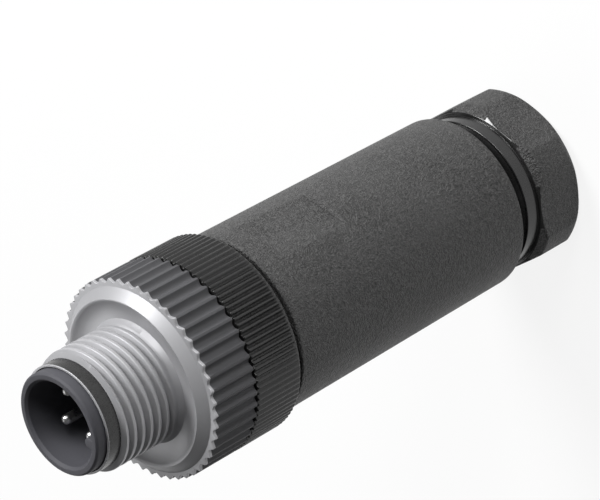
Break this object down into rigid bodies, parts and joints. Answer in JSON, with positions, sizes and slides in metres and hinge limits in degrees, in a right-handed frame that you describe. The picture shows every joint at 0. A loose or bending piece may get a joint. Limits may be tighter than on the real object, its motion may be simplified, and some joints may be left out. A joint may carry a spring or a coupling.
{
  "type": "m12 circular cable connector",
  "caption": "Field-wired circular cable connector with pins in a keyed nose, a threaded knurled coupling ring and a clamped cable entry.",
  "frame": {"origin": "centre of the pressing screw's rear face, on the connector's axis", "axes": "+Z along the axis towards the pins; +X towards one pin, with the coding key between +X and -Y"},
  "size_m": [0.02, 0.02, 0.0617],
  "materials": {
    "housing_plastic": "fine-grained black moulded plastic",
    "grip_plastic": "black moulded plastic, satin",
    "insert_plastic": "smooth black moulded plastic",
    "coupling_metal": "grey matt plated die-cast metal",
    "contact_metal": "turned contact with a bright plating; its tint does not show in a grey photo",
    "screw_steel": "nickel-plated steel",
    "washer_steel": "bright spring steel",
    "seal_rubber": "black sealing rubber"
  },
  "bodies": {
    "pressing_screw": {"pressing_screw": "housing_plastic"},
    "clamping_cage": {"clamping_cage": "insert_plastic", "thrust_washer": "washer_steel"},
    "housing": {"housing": "housing_plastic", "cable_seal": "seal_rubber"},
    "housing_seal": {"housing_seal": "seal_rubber"},
    "contact_insert": {"contact_insert": "insert_plastic", "terminal_block": "insert_plastic", "knurl_ring": "housing_plastic", "contact_pin_1": "contact_metal", "contact_pin_2": "contact_metal", "contact_pin_3": "contact_metal", "contact_pin_4": "contact_metal"},
    "coupling_screw": {"coupling_screw": "coupling_metal", "coupling_grip": "grip_plastic", "retaining_ring": "washer_steel"},
    "clamp_screw_1": {"clamp_screw_1": "screw_steel"},
    "clamp_screw_2": {"clamp_screw_2": "screw_steel"},
    "clamp_screw_3": {"clamp_screw_3": "screw_steel"},
    "clamp_screw_4": {"clamp_screw_4": "screw_steel"}
  },
  "joints": [
    {"name": "gland_turn", "type": "hinge", "parent": "pressing_screw", "child": "clamping_cage", "pos_m": [0, 0, 0.014], "axis": [0, 0, 1], "range_deg": [-675, 723]},
    {"name": "gland_travel", "type": "slide", "parent": "clamping_cage", "child": "housing", "axis": [0, 0, 1], "range_m": [-0.0028, 0.003], "deforming": ["cable_seal"]},
    {"name": "insert_travel", "type": "slide", "parent": "housing", "child": "housing_seal", "axis": [0, 0, 1], "range_m": [0, 0.005]},
    {"name": "insert_turn", "type": "hinge", "parent": "housing_seal", "child": "contact_insert", "pos_m": [0, 0, 0.036], "axis": [0, 0, 1], "range_deg": [-2, 1805]},
    {"name": "coupling_turn", "type": "hinge", "parent": "contact_insert", "child": "coupling_screw", "pos_m": [0, 0, 0.048], "axis": [0, 0, 1], "continuous": true},
    {"name": "clamp_screw_1_turn", "type": "hinge", "parent": "contact_insert", "child": "clamp_screw_1", "pos_m": [0.0045, 0, 0.03], "axis": [1, 0, 0], "range_deg": [0, 720]},
    {"name": "clamp_screw_2_turn", "type": "hinge", "parent": "contact_insert", "child": "clamp_screw_2", "pos_m": [0, 0.0045, 0.03], "axis": [0, 1, 0], "range_deg": [0, 720]},
    {"name": "clamp_screw_3_turn", "type": "hinge", "parent": "contact_insert", "child": "clamp_screw_3", "pos_m": [-0.0045, 0, 0.03], "axis": [-1, 0, 0], "range_deg": [0, 720]},
    {"name": "clamp_screw_4_turn", "type": "hinge", "parent": "contact_insert", "child": "clamp_screw_4", "pos_m": [0, -0.0045, 0.03], "axis": [0, -1, 0], "range_deg": [0, 720]}
  ],
  "couplings": [
    {"joint": "gland_turn", "follows": "gland_travel", "rad_per_m": 4188.8},
    {"joint": "insert_turn", "follows": "insert_travel", "rad_per_m": 6283.2}
  ]
}
